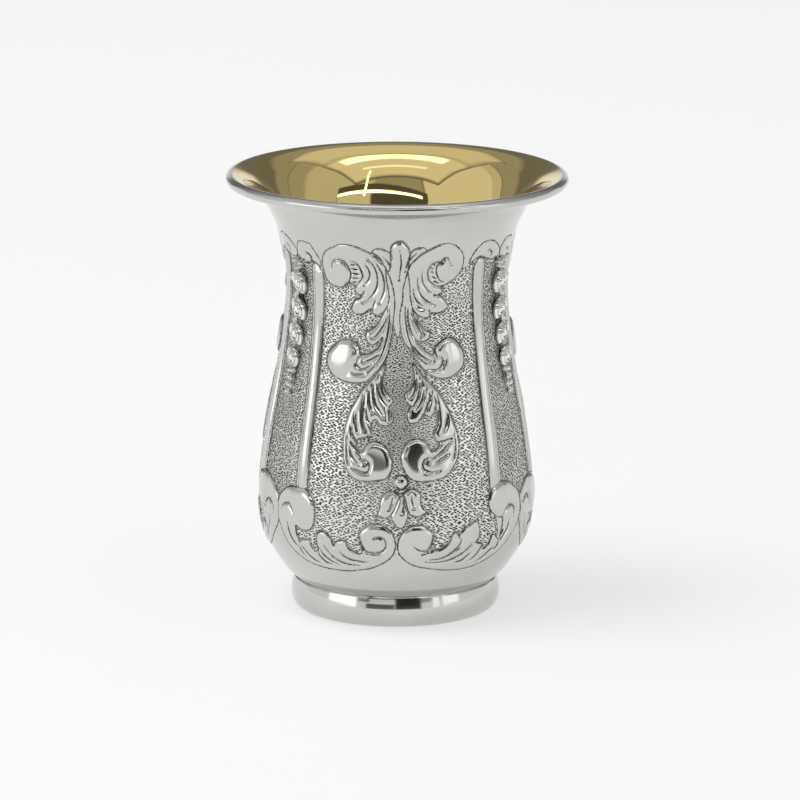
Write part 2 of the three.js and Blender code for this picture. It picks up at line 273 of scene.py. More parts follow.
RAISED = [
    # ribs
    (RIB, [(42.7, 27.5), (42.5, 60), (42.2, 68), (42.5, 69.4), (43.6, 70.3), (45.9, 70.8),
           (48.6, 70.4), (49.9, 69.4), (50.2, 68), (50.2, 60), (49.3, 27.5), (45.9, 26.5)]),
    (RIB, [(-45.6, 27), (-46.5, 45), (-47.7, 60), (-47.9, 67.5), (-47.3, 69), (-45.8, 69.6),
           (-43.6, 69.4), (-41.4, 68.6), (-40.3, 67.5), (-39.9, 60), (-39.4, 45), (-39.8, 27),
           (-43, 26)]),
    # crown leaf and the stalk below it
    (STALK, [(0.4, 75.1), (-0.7, 74.9), (-2.5, 74.2), (-3, 73), (-2.7, 71.9), (-3.3, 70.1),
             (-2.5, 67.1), (-1.4, 65.3), (-0.9, 63.7), (-1.1, 61.9), (-1.4, 60), (-0.2, 58),
             (0.7, 57), (1.5, 58.6), (1.6, 60.5), (2.2, 62.3), (3.1, 64), (3.3, 66),
             (4.3, 67.6), (5.6, 69.3), (6.2, 71.9), (6.5, 72.2), (6.4, 73), (5.6, 73.8),
             (4, 74.6), (2.2, 75.2)]),
    (LEAF, [(-2.8, 71.9), (-3.6, 73.05), (-5.7, 73.7), (-7.9, 73.95), (-10.4, 73.7),
            (-11.8, 73.2), (-10.7, 72.6), (-8.9, 72.1), (-7.1, 71.1), (-5.4, 69.9), (-3.6, 69.5)]),
    (LEAF, [(6.3, 72.2), (7.6, 73.5), (9.5, 74), (12, 74.1), (13.6, 73.8), (14.5, 73.4),
            (12, 72.8), (9.5, 71.9), (7, 70.8), (5.8, 69.6)]),
    # top scrolls with their leaf lobes
    (LEAF, [(-5.4, 69.9), (-7.1, 71.1), (-8.9, 72.1), (-10.7, 72.6), (-15.7, 73.5), (-20, 74.1),
            (-25, 74.3), (-28.6, 74.1), (-30.7, 73.7), (-34.3, 73.05), (-36.8, 72.4),
            (-38.6, 71.5), (-39.8, 70.4), (-40, 69.2), (-39.3, 68), (-38.2, 66.9), (-35.7, 66.1),
            (-32.9, 65.8), (-29.6, 65.7), (-27.1, 66.1), (-24.6, 66.7), (-22.8, 66.4),
            (-21.4, 66.3), (-21.4, 65.3), (-20, 64.75), (-18.2, 64.4), (-18.9, 63.95),
            (-21.4, 63.6), (-22.7, 62.8), (-23.4, 61.8), (-22.1, 61.1), (-19.3, 60.9),
            (-16.8, 61.1), (-14.3, 61.8), (-12.8, 62), (-11.8, 61.2), (-9.6, 60.9),
            (-7.9, 61.2), (-5.7, 62.1), (-4.3, 63.05), (-3.75, 64.2), (-4.1, 65.8), (-5.2, 67.9)]),
    (LEAF, [(5.5, 69.2), (7, 70.8), (9.5, 71.9), (12, 72.8), (14.5, 73.4), (17, 73.9),
            (20, 74.4), (23, 74.6), (26, 74.5), (29, 74), (31, 73.4), (33, 72.6), (34.3, 71.8),
            (34.9, 70.8), (34.8, 69.6), (34, 68.8), (32.6, 68.1), (31, 67.6), (29.5, 67.1),
            (27, 66.7), (25, 66.3), (23.5, 66.1), (23.7, 65.6), (23.4, 64.9), (22, 64.5),
            (23.6, 64.2), (25, 63.6), (26.3, 62.8), (27.2, 62.2), (26, 61.8), (24, 61.4),
            (21, 61.1), (18.5, 61.3), (17.3, 61.2), (16.8, 60.6), (14.5, 60.4), (11.5, 60.8),
            (9, 61.7), (7.6, 63), (7, 64.3), (6.6, 66.5)]),
    # long stems, their side leaves and the tails that end in bosses
    (STEM, [(-5.4, 69.9), (-3.9, 68.7), (-2.5, 67.1), (-1.4, 65.3), (-0.9, 63.7), (-1.1, 61.9),
            (-1.6, 60.1), (-2.1, 57.8), (-3.2, 55.5), (-4.3, 53.7), (-6.1, 52.1), (-8.6, 50.8),
            (-10.7, 49.9), (-12.9, 48.95), (-15, 48.4), (-20, 48.05), (-25, 48.2),
            (-28.6, 48.6), (-30.7, 48.8), (-32.9, 49.5), (-34.6, 50.3), (-35.7, 51.5),
            (-35.5, 52.8), (-34.3, 53.8), (-32.1, 54.6), (-30, 55.5), (-27.9, 55.9), (-25, 56),
            (-22.1, 55.8), (-20, 55.3), (-18.6, 54.4), (-18.2, 53.4), (-15.7, 53.5),
            (-12.9, 53.7), (-10, 54.4), (-8.2, 55.2), (-6.8, 56.7), (-7.5, 56.6), (-9.6, 55.8),
            (-12.1, 55.4), (-14.3, 55.8), (-15.4, 56.7), (-15, 57.8), (-13.2, 58.05),
            (-11.1, 58.6), (-8.9, 59.6), (-7.1, 60.8), (-5.4, 62.1), (-4.3, 63.05),
            (-3.75, 64.2), (-4.1, 65.8), (-5.2, 67.9)]),
    (STEM, [(5.5, 69.2), (4.3, 67.6), (3.3, 66), (3.1, 64), (2.2, 62.3), (1.6, 60.5),
            (2, 58.6), (3, 56.9), (4.5, 55.6), (6.5, 54.6), (8.5, 53.2), (11, 51.9), (13, 50.9),
            (16, 49.8), (19, 49.2), (22, 48.9), (25, 48.9), (28, 49.2), (31, 49.8), (33, 50.4),
            (34.5, 51.2), (35, 52.4), (34.4, 53.6), (33, 54.8), (31, 55.7), (29, 56.2),
            (26.5, 56.4), (24, 56.1), (21.5, 55.4), (19.5, 54.6), (18.8, 54.1), (18.3, 53.4),
            (16, 53.7), (13, 54.7), (10, 55.9), (9.3, 56.6), (10.5, 56.2), (12.5, 56),
            (14.8, 56.1), (16.3, 56.5), (17, 57.3), (16.8, 57.8), (15, 57.9), (13, 58.6),
            (11, 59.6), (9, 60.6), (8.3, 61.9), (7.6, 63), (7, 64.3), (6.6, 66.5)]),
    # the two halves of the heart
    (LEAF, [(-5.7, 51.9), (-8.6, 50.3), (-11.4, 48.95), (-13.9, 47.8), (-16.4, 46.7),
            (-18.6, 45.1), (-20.7, 43.5), (-22.1, 41.95), (-23, 40.1), (-23.4, 38.3),
            (-23.4, 36.05), (-22.9, 34.2), (-21.8, 32.6), (-20, 31.3), (-17.9, 30.5),
            (-15, 30.1), (-12.1, 30.1), (-8.9, 30.25), (-6.4, 30.4), (-4.6, 30.6), (-2.9, 31.3),
            (-1.8, 32.4), (-1.6, 33.8), (-2.3, 34.9), (-3.6, 36.05), (-5.7, 36.95),
            (-8.6, 37.4), (-11.1, 37.3), (-13.2, 36.6), (-14.6, 35.6), (-15.7, 35.4),
            (-17.4, 36.6), (-16.8, 37.75), (-14.6, 38.1), (-12.7, 38.4), (-11.3, 38.2),
            (-11.2, 39.6), (-11.2, 40.8), (-10, 41.5), (-8.9, 41.5), (-7.5, 40.8), (-5.4, 40.5),
            (-2.9, 40.6), (-1.4, 41.3), (-1.25, 42.2), (-2.5, 43.2), (-3.4, 43.9), (-1.9, 44.6),
            (-1.8, 45.4), (-3.2, 46), (-5, 46.9), (-6.1, 48.3), (-6.25, 49.6), (-5.5, 51)]),
    (LEAF, [(8, 52), (11, 50.6), (13, 49.4), (16, 48.2), (19, 47), (21.5, 45.6), (23.5, 44),
            (25, 42.6), (26.5, 40.8), (27.8, 38.8), (28.3, 36.9), (28, 35.2), (26.8, 33.6),
            (25, 32.4), (22.5, 31.2), (19.5, 30.5), (16, 30.2), (12, 30.1), (8.5, 30.2),
            (5.5, 30.9), (3.6, 32.2), (2.4, 33.8), (2.2, 34.8), (3.2, 36.2), (5, 37.3),
            (7.5, 37.9), (10, 38), (12.5, 37.6), (14.5, 36.6), (15.7, 35.6), (17.5, 35.9),
            (19.3, 36.8), (18, 37.6), (17, 39), (18.3, 39.8), (19, 40.6), (19, 42),
            (18.6, 43.6), (17, 42.5), (15.5, 41.9), (13.8, 42.4), (12.5, 42.4), (11, 41.7),
            (9.5, 41.1), (7, 40.9), (5.6, 41.2), (5, 42), (5.3, 43), (6.6, 44), (5.5, 44.5),
            (4.5, 45.2), (4, 46.2), (5, 46.7), (7, 47.3), (8.2, 48.5), (8.6, 50)]),
    # bellflower
    (PETAL, [(1.4, 27.1), (0.4, 27.9), (-1.8, 28.3), (-3.9, 28.1), (-5, 27.6), (-5.7, 27.2),
             (-6.4, 25.8), (-6.8, 24.5), (-7.5, 23.8), (-8.6, 23.3), (-6.4, 23.5), (-4.6, 23.2),
             (-2.9, 23.4), (-1.4, 24.2), (-0.5, 25), (0.3, 26)]),
    (PETAL, [(3.3, 27.8), (4.5, 28.4), (6, 28.7), (8, 28.6), (9.5, 28.2), (10.3, 27.6),
             (10.2, 26.5), (10.5, 25.6), (11.5, 24.9), (12.7, 24.3), (13.4, 24.2), (12, 24),
             (10, 23.5), (8, 23.5), (6.5, 23.8), (5.4, 24.4), (4.6, 25.6)]),
    (PETAL, [(1.4, 27.1), (3.4, 27.4), (3.6, 25.8), (5, 23.8), (4.5, 22.8), (3.5, 21.6),
             (2.3, 21.2), (1, 21.4), (-0.5, 22.2), (-1.8, 23.5), (-0.5, 25), (0.5, 26.2)]),
    # leaf bands along the foot of the panel
    (LEAF, [(-0.1, 17.9), (-0.4, 19), (-1.4, 20.1), (-3.2, 21), (-5, 21.6), (-7.9, 22),
            (-10.7, 21.8), (-13.2, 21), (-14.8, 20.1), (-15.4, 19.2), (-14.8, 18.1),
            (-13.9, 16.9), (-14.6, 15.9), (-17.5, 16.2), (-19.6, 16.7), (-20.9, 17.5),
            (-21.4, 18.3), (-23.6, 18.2), (-25.4, 17.9), (-26.4, 17.2), (-26.8, 16.8),
            (-27.7, 18.1), (-28.6, 18.9), (-30, 19.3), (-32.1, 19.6), (-33.9, 19.2),
            (-34.8, 18.3), (-35, 16.95), (-34.6, 15.9), (-36.2, 15.2), (-37.5, 15.6),
            (-38.6, 16.5), (-39.3, 17.3), (-41.4, 17.3), (-43.6, 16.95), (-44.8, 16.4),
            (-45.2, 16.95), (-45.9, 17.9), (-46.1, 19), (-46, 19.7), (-43.9, 19.3),
            (-42.1, 19.1), (-39.3, 19.3), (-37.1, 19.9), (-35.7, 21.3), (-35.4, 22.6),
            (-35.5, 24.45), (-36.4, 25.5), (-38.2, 26.5), (-40, 27.1), (-43.6, 27.3),
            (-50, 27), (-53, 26.2), (-55.5, 25.2), (-57, 24), (-58, 22), (-57.8, 20.7),
            (-56, 18.5), (-53, 16), (-50, 14.5), (-46.4, 13.4), (-43.6, 12.75), (-40, 12.3),
            (-35, 11.95), (-30, 11.8), (-25, 11.8), (-20, 11.95), (-16.1, 12.3),
            (-12.5, 12.6), (-8.9, 13.2), (-5.7, 14), (-2.9, 14.9), (-0.7, 16.2)]),
    (LEAF, [(0.9, 17.5), (1.2, 18.6), (2.3, 19.8), (4, 20.9), (6.5, 21.6), (9.5, 21.7),
            (12, 21.4), (14.5, 20.6), (16, 19.6), (15.8, 18.4), (15.1, 17.4), (15.2, 16.8),
            (18, 16.6), (20, 16.9), (22, 17.6), (23.5, 18.5), (24.8, 19.9), (26.3, 19.6),
            (27.5, 19), (28.5, 19.9), (30, 20.5), (32.5, 21), (35.3, 21.6), (36.5, 20.8),
            (37.2, 19.6), (37.3, 18.4), (36.5, 17.4), (37.5, 17), (39, 16.8), (39.6, 16.4),
            (40.3, 15.6), (42, 15.8), (43.4, 16.6), (44.2, 17.6), (44.7, 18.2), (46.5, 17.8),
            (48.5, 17), (49.3, 16.8), (50.2, 17.9), (51, 19.2), (50.9, 20.6), (50.3, 21.2),
            (48.6, 21.3), (46.4, 21.6), (44.1, 22.4), (42.5, 23.3), (41.8, 24.5), (41.8, 25.3),
            (43.2, 26.9), (45, 27.6), (47.7, 28.1), (50, 28.2), (54, 27.8), (58.6, 26.5),
            (62.3, 24.6), (63.2, 21.5), (61.8, 19.2), (58.6, 17.4), (52, 14.8), (47, 13.6),
            (42, 12.7), (37, 12.1), (31, 11.9), (25, 12), (18, 12.4), (13, 12.9),
            (10.8, 13.1), (7, 13.8), (4.5, 14.6), (2.5, 15.5), (1.3, 16.4)]),
    # small scrolls over the narrow panels
    (LEAF, [(-42.9, 71.45), (-44.6, 72.4), (-46.4, 73.3), (-48.6, 73.5), (-51.8, 73.6),
            (-54.5, 73.4), (-56.8, 72.6), (-58, 71.45), (-57.7, 70.5), (-56, 69.7),
            (-53, 69.2), (-50, 69.3), (-47.9, 69.6), (-45.7, 69.8), (-43.6, 69.5),
            (-41.2, 69.2), (-41.2, 70.4)]),
    (LEAF, [(40.5, 71.9), (43.2, 73), (45.9, 73.8), (50, 74), (54, 73.6), (57.3, 72.9),
            (60.5, 71.9), (61.6, 70.8), (60, 70), (56, 69.9), (53, 70.1), (50.5, 70.4),
            (48.6, 70.7), (45.9, 71.1), (43.2, 70.8), (41.4, 70.4), (38.5, 70.1)]),
    # smooth bosses
    (CURL, [(-34.5, 69.2), (-33.75, 70.3), (-32.1, 70.9), (-30, 71.1), (-27.9, 71),
            (-25.7, 70.4), (-24.5, 69.6), (-23.6, 68.7), (-23.9, 67.8), (-25, 66.9),
            (-27.1, 66.1), (-29.6, 65.8), (-32.9, 66), (-35, 67), (-35.3, 68.2)]),
    (CURL, [(27.7, 70.3), (26.8, 70.9), (25.5, 71.6), (24, 71.7), (22.4, 71.1), (21, 70.7),
            (20.1, 70), (20, 69.2), (20.8, 68.2), (22.5, 67.3), (24.5, 66.9), (27, 66.8),
            (29.5, 67.1), (31, 67.7), (31.6, 68.7), (30.6, 69.8), (29.2, 70.2)]),
    (BOSS, [(-18.2, 53.3), (-18.6, 54.4), (-20, 55.3), (-22.1, 55.8), (-25, 56), (-27.9, 55.9),
            (-30, 55.5), (-32.1, 54.6), (-34.3, 53.8), (-35.5, 52.8), (-35.7, 51.5),
            (-34.6, 50.3), (-32.9, 49.5), (-30.7, 48.9), (-28, 48.7), (-25.5, 49),
            (-23.5, 50), (-21.5, 51), (-19.6, 52.1)]),
    (BOSS, [(20.7, 52.9), (19.6, 53.6), (19.5, 54.6), (21.5, 55.4), (24, 56.1), (26.5, 56.4),
            (29, 56.2), (31, 55.7), (33, 54.8), (34.4, 53.6), (35, 52.4), (34.5, 51.2),
            (33, 50.4), (31, 49.8), (28, 49.3), (25.5, 49.3), (23.6, 50.2), (23, 51.3),
            (23, 52.5), (22, 53)]),
    (CURL, [(-14.7, 34.7), (-14.6, 35.5), (-13.2, 36.5), (-11.1, 37.2), (-8.6, 37.3),
            (-5.7, 36.8), (-3.7, 36), (-2.5, 34.9), (-1.8, 33.8), (-2, 32.4), (-3.1, 31.4),
            (-5, 30.8), (-7.5, 30.6), (-10, 30.9), (-11.3, 31.7), (-11.3, 32.6),
            (-11.4, 33.5), (-12.9, 34.1)]),
    (CURL, [(15.4, 34.8), (15.3, 35.6), (14.5, 36.5), (12.5, 37.5), (10, 37.9), (7.5, 37.8),
            (5, 37.2), (3.3, 36.1), (2.4, 34.8), (2.6, 33.8), (3.8, 32.3), (5.7, 31),
            (8.5, 30.4), (11, 31), (11.6, 32.1), (11.3, 33.2), (12, 34), (13.5, 34.5)]),
    (CURL, [(-4.1, 17.6), (-5.4, 16.7), (-7.1, 16.3), (-9.6, 16.2), (-12.1, 16.4),
            (-13.6, 16.95), (-14.8, 18.1), (-15.2, 19.2), (-14.6, 20), (-13, 20.8),
            (-10.7, 21.5), (-7.9, 21.6), (-5.4, 21.2), (-3.9, 20.3), (-3.4, 19)]),
    (CURL, [(10.8, 16.1), (12, 16.2), (13.5, 16.6), (15, 17.4), (15.8, 18.4), (15.8, 19.5),
            (14.4, 20.5), (12, 21.2), (9.5, 21.5), (6.5, 21.3), (4.3, 20.5), (3.4, 19.2),
            (4.2, 18), (6, 17.2), (8.5, 16.5)]),
    (BOSS, [(-43.6, 27.2), (-40, 27.1), (-38.2, 26.5), (-36.4, 25.5), (-35.5, 24.45),
            (-35.4, 22.6), (-35.7, 21.3), (-37.1, 19.9), (-39.3, 19.3), (-42.1, 19.1),
            (-43.9, 19.3), (-45.4, 19.9), (-46.4, 20.6), (-47, 21.95), (-47.9, 22.9),
            (-48.9, 23.4), (-50, 24.5), (-49.5, 26), (-47, 26.9)]),
    (BOSS, [(50, 28.2), (47.7, 28.1), (45, 27.6), (43.2, 26.9), (41.8, 25.3), (41.8, 24.5),
            (42.5, 23.3), (44.1, 22.4), (46.4, 21.6), (48.6, 21.3), (50.5, 21.4), (51.8, 22.6),
            (53, 23.1), (54.5, 24.4), (54.5, 26), (53, 27.4)]),
    (BOSS, [(-0.7, 30), (-0.3, 29.3), (0.8, 28.8), (2.2, 28.6), (3.6, 28.8), (4.7, 29.3),
            (5.1, 30), (4.7, 30.8), (3.6, 31.2), (2.2, 31.35), (0.8, 31.2), (-0.3, 30.8)]),
]

# Chased lines inside the raised forms: the veins of the leaves and the turns
# of the scrolls. Each is one stroke, wide in the middle and fine at its ends.
VEINS = [
    # crown
    [(-2.7, 71.7), (-3, 73), (-2.5, 74.2), (-0.7, 74.9), (0.4, 75.1), (2.2, 75.2), (4, 74.6),
     (5.6, 73.8), (6.4, 73), (6.5, 72.2), (6.1, 71.8)],
    # turns of the curls
    [(-34.5, 69.2), (-33.75, 70.3), (-32.1, 70.9), (-30, 71.1), (-27.9, 71), (-25.7, 70.4),
     (-24.5, 69.6), (-23.6, 68.7), (-23.9, 67.8), (-25, 66.9), (-26.6, 66.2)],
    [(27.7, 70.3), (26.8, 70.9), (25.5, 71.6), (24, 71.7), (22.4, 71.1), (21, 70.7), (20.1, 70),
     (20, 69.2), (20.8, 68.2), (22.5, 67.3), (24.5, 66.9)],
    [(-18.2, 53.3), (-18.6, 54.4), (-20, 55.3), (-22.1, 55.8)],
    [(20.7, 52.9), (19.6, 53.6), (19.5, 54.6), (21.5, 55.4)],
    [(-15.4, 19.2), (-14.8, 18.1), (-13.6, 16.95), (-12.1, 16.4), (-9.6, 16.2), (-7.1, 16.3),
     (-5.4, 16.7), (-4.1, 17.6), (-4.3, 18.8), (-5.7, 19.45), (-7.5, 19.6), (-8.9, 19.4)],
    [(16, 19.6), (15.8, 18.4), (15, 17.4), (13.5, 16.6), (12, 16.2), (10.8, 16.1)],
    [(-0.7, 30), (-0.3, 29.3), (0.8, 28.8), (2.2, 28.6), (3.6, 28.8), (4.7, 29.3), (5.1, 30),
     (4.7, 30.8), (3.6, 31.2), (2.2, 31.35), (0.8, 31.2), (-0.3, 30.8), (-0.7, 30)],
    [(-0.9, 29), (0.4, 28.2), (2.2, 27.9), (4, 28.2), (5.4, 29)],
    [(1.4, 73.4), (1.9, 72.3), (2.2, 71), (1.8, 69.6), (1.3, 68)],
    [(4.1, 69.6), (5.5, 70.9), (7.5, 72.2), (9.6, 72.9)],
    [(-6.25, 72), (-4.3, 71.2), (-3.2, 70.1)],
    [(-11.1, 72.6), (-9.3, 71.9), (-7.5, 71.3)],
    # top scrolls
    [(-14.6, 71.8), (-12.5, 71), (-10.7, 69.75), (-9.8, 68.3), (-10, 66.45), (-11.8, 65),
     (-14.3, 63.95), (-16.8, 63.3)],
    [(-11.1, 71.45), (-8.9, 70.1), (-7.1, 68.7), (-6.25, 66.9), (-6.6, 65.3), (-8.6, 63.4)],
    [(-16.1, 70.7), (-14.3, 69.75), (-13.6, 68.7), (-14.3, 67.6), (-16.25, 66.7)],
    [(-23.2, 70.9), (-21.4, 70.9), (-19.3, 70.3), (-17.9, 69.2), (-17.3, 68.2), (-18.6, 67.25),
     (-20.4, 66.6), (-21.4, 66.3)],
    [(-18.2, 64.4), (-16.4, 65.4)], [(-12.5, 62.1), (-11.5, 63), (-10.8, 64)],
    [(22.8, 71), (20, 71), (17.6, 70.6), (16.2, 69.9), (15.6, 69), (16, 68), (17, 67.2),
     (19, 66.6), (22, 66.2), (25, 66)],
    [(12.8, 69.3), (12.8, 68), (13.6, 66.8), (15.5, 65.8), (17.3, 65.3)],
    [(10.7, 68.2), (10.6, 67), (11.5, 65.4), (13.5, 64.2), (16, 63.5), (18.8, 62.9)],
    [(8.4, 66), (8.8, 64.8), (10, 63.8), (11.5, 63.2), (12.8, 62.9)],
    [(10, 62.9), (11.5, 62.4), (13.2, 62.2)],
    [(22, 64.5), (20, 64.5), (18.8, 64.9)], [(17.3, 61.3), (16.5, 61.9)],
    # stems, side leaves and hooks
    [(-4.3, 60.9), (-6.1, 59.4), (-8.2, 58.05), (-10.4, 57), (-11.8, 56.7)],
    [(-8.4, 53.6), (-10.7, 53.05), (-13.2, 52.5), (-15.4, 52.1)],
    [(-12.1, 51.8), (-13.9, 51.2), (-15.7, 50.8), (-17.5, 50.8), (-18.9, 51.3), (-19.6, 52.1),
     (-18.2, 53.3)],
    [(-20.4, 49.9), (-17.9, 49.75), (-15.7, 49.9)],
    [(-3.4, 62.2), (-3.6, 60), (-4.4, 57.6), (-5.6, 55.4), (-7.4, 53.4), (-9.6, 51.9)],
    [(7.2, 61.6), (8.3, 60.3), (11, 58.5), (12.3, 57.5), (12, 56.7)],
    [(8.5, 55.3), (11, 53.9), (14, 52.9), (17.5, 52.3)],
    [(15, 50.9), (17, 50.7), (19, 50.6), (21, 50.8), (22.6, 51.6), (23, 52.5), (22, 53),
     (20.7, 52.9)],
    [(4.6, 63), (4.4, 61), (4.9, 58.8), (6.2, 56.6), (8.4, 54.6), (11.2, 52.8)],
    [(5.8, 62.4), (5.8, 60.6), (6.8, 58.6), (8.3, 57.2)],
    # heart, left half
    [(-14.6, 34.2), (-12.9, 34.1), (-11.4, 33.5), (-11.25, 32.6), (-12.1, 31.8), (-14.3, 31.8),
     (-16.1, 32.1), (-17.9, 32.4)],
    [(-19.6, 37.4), (-18.6, 36.5), (-17.1, 35.6), (-15, 34.7)],
    [(-20.4, 36.3), (-19.3, 34.9), (-17.9, 34), (-15.7, 33.1)],
    [(-7.3, 49.9), (-7.1, 48), (-6.1, 46.5), (-4.6, 45.5)],
    [(-8.4, 48.3), (-8.2, 46.9), (-6.8, 45.5), (-5, 44.5), (-3.4, 43.9)],
    [(-3.9, 43.5), (-3.2, 42.4), (-3.2, 41.3)],
    [(-10.5, 48.05), (-10.4, 46.2), (-9.3, 44.4), (-7.1, 43.05), (-6.1, 42.4)],
    [(-12.5, 46.9), (-12.3, 44.9), (-11.1, 43.3)],
    [(-14.5, 46), (-14.8, 44.2), (-15, 41.7), (-14.3, 40.4), (-12.9, 39.2), (-11.8, 38.2)],
    [(-13.9, 43.5), (-12.9, 41.7), (-11.4, 40.8)],
    [(-19.8, 40.1), (-19.6, 39), (-18.6, 38.1), (-17.4, 37.4)],
    [(-18.2, 42.6), (-18.2, 41.05), (-16.8, 39.1)],
    [(-21.8, 38.4), (-21.9, 36.4), (-21.4, 34.6), (-20.2, 33)],
    # heart, right half
    [(15.4, 34.5), (13.5, 34.5), (12, 34), (11.3, 33.2), (12, 32.4), (14, 31.9), (16.5, 31.8),
     (18, 32)],
    [(15.6, 34.3), (18.5, 35), (20.5, 35.6), (22, 36.3), (24.5, 37.2)],
    [(17, 33.4), (19, 34), (21, 34.4), (22.5, 34.9)],
    [(9, 43.4), (11, 44.4), (12.2, 45.5), (13, 47)],
    [(14.7, 44.2), (15.5, 45.2), (15.6, 46.5)],
    [(12.5, 42.4), (13.8, 43.6), (14.2, 44.8)],
    [(18.6, 43.6), (18.4, 44.8), (18, 45.8)],
    [(21.3, 39.2), (22.2, 39.8), (23.2, 41), (23.6, 42.5)],
    [(18.9, 37.4), (20.5, 37.4), (22.5, 37.5), (24.5, 37.8)],
    [(6.6, 44), (8, 44.2), (9.6, 45.2), (10.7, 46.8), (11, 48.4)],
    [(6.4, 45.8), (8, 46.3), (9.2, 47.6), (9.8, 49.2)],
    [(26.6, 38.6), (26.9, 37), (26.4, 35.4), (25, 33.9)],
    # bellflower
    [(-1.25, 27.2), (-1.8, 26), (-2.7, 25)], [(6.5, 27.6), (6.7, 26.5), (7.3, 25.2)],
    [(3.4, 27.2), (3.4, 25.8), (2.5, 24.3)],
    # leaf bands
    [(-31.6, 16.8), (-30, 15.7), (-27.9, 14.7), (-25, 13.9), (-21.4, 13.4), (-15.7, 13.3)],
    [(-24.5, 16.05), (-22.9, 15.25), (-20.4, 14.6), (-16.8, 14.3), (-12.1, 14.1)],
    [(-33.9, 15.8), (-32.1, 14.7), (-29.6, 13.8), (-25.7, 13.1)],
    [(-35.7, 15.8), (-34.6, 14.45), (-32.1, 13.3), (-28.6, 12.9)],
    [(-44.3, 15.9), (-42.5, 15.1), (-40.7, 14.1), (-38.2, 13.3), (-35.7, 12.9)],
    [(-45.4, 15.8), (-44.8, 14.7), (-43.2, 13.8)],
    [(-51.4, 19.9), (-50.5, 18), (-48.6, 16.5), (-46.4, 15.5)],
    [(-47, 21.95), (-47.9, 22.9), (-48.9, 23.4), (-50, 23.8), (-52.7, 23.5), (-54.3, 22.8)],
    [(7.3, 17.8), (8.5, 17.2), (10.5, 16.7), (12.5, 16.6), (15, 16.5)],
    [(27.5, 19), (28.4, 18.1), (27.5, 17), (26, 16.4), (24.5, 15.8), (22, 15.1), (19, 14.7),
     (15, 14.6)],
    [(34, 17.2), (32, 16.2), (30, 15.5), (27, 14.8), (23, 14.2), (18, 14), (13, 14.2)],
    [(34, 15.3), (32, 14.6), (30, 13.9), (27, 13.6)],
    [(36.5, 17.4), (35.4, 17.1)], [(39.6, 16.4), (38.5, 15.6), (37.5, 14.8), (36, 14.1), (34, 13.6)],
    [(49.3, 16.6), (48.5, 15.5), (47, 15)],
    [(46.3, 15.4), (44, 14.8), (41.5, 13.9), (38.5, 13.2)],
    [(50.5, 21.4), (51.8, 22.6), (54, 23.2), (56.4, 23), (58.2, 22.1), (58, 20.8)],
    [(50.9, 21), (50.9, 19.2), (50, 17.8)], [(54.8, 20.1), (54, 18.7), (51.8, 17.4), (49.5, 16)],
    # curls of the small scrolls
    [(-50.9, 71.2), (-48.6, 71.2), (-47.3, 70.5), (-48.2, 69.6), (-50.9, 69.2)],
    [(50.5, 71.9), (52.6, 71.8), (54.2, 71.2), (53.4, 70.4)],
]
# A deep line sets a narrow fillet off from each rib; short ticks fill the curls.
FILLETS = [
    [(-45.9, 69), (-46.4, 67), (-46.2, 60), (-45.2, 45), (-44.4, 27.5)],
    [(48.7, 69.4), (48.8, 67), (48.8, 60), (48.4, 45), (48, 28)],
]
HATCHING = [
    [(-23.4, 70.4), (-20.6, 70.3)], [(-23.1, 69.6), (-19.6, 69.4)], [(-22.8, 68.7), (-18.9, 68.5)],
    [(-23, 67.8), (-19.2, 67.7)], [(-23.2, 66.9), (-20.6, 67)],
    [(16.5, 70.2), (18.5, 69.6)], [(17, 69.3), (18.7, 68.9)], [(17.7, 68.2), (20, 67.8)],
    [(18.8, 67.3), (21.5, 66.9)],
]
# Matted ground: the wide field between the ribs, and the narrow one that runs
# on into the next panel.
WIDE_FIELD = [
    (-40.4, 68.5), (-37, 69.5), (-30, 72), (-15, 72), (0, 68), (15, 72), (30, 71), (34.5, 69.5),
    (38.5, 69.6), (42.7, 69.6), (42.7, 26), (46, 22), (48, 17.5), (40, 15), (30, 16),
    (20, 15.5), (12, 17), (2, 17.2), (0.5, 17.5), (-1, 17), (-12, 17), (-20, 15.3), (-30, 16),
    (-40, 15.5), (-46, 16.5), (-46, 20), (-42, 22), (-40.4, 26)]
NARROW_FIELD = [
    (49, 69.7), (53, 69.6), (57, 69.4), (60, 70), (62, 70), (66, 69), (70, 68.9), (73.7, 68.9),
    (73.7, 40), (73.7, 27), (70, 26.8), (66.5, 25.8), (63.5, 24.6), (62.6, 22.5), (61, 24.8),
    (57, 27), (52, 27.9), (49, 28)]

across = PANEL_TURN + np.linspace(-PANEL / 2, PANEL / 2, COLUMNS + 1)
up = np.linspace(run_at_height(CHASING_LOW), run_at_height(CHASING_HIGH), ROWS + 1)
panel_curve, panel_normals = wall_at(up)
panel_radius = panel_curve[:, 0]


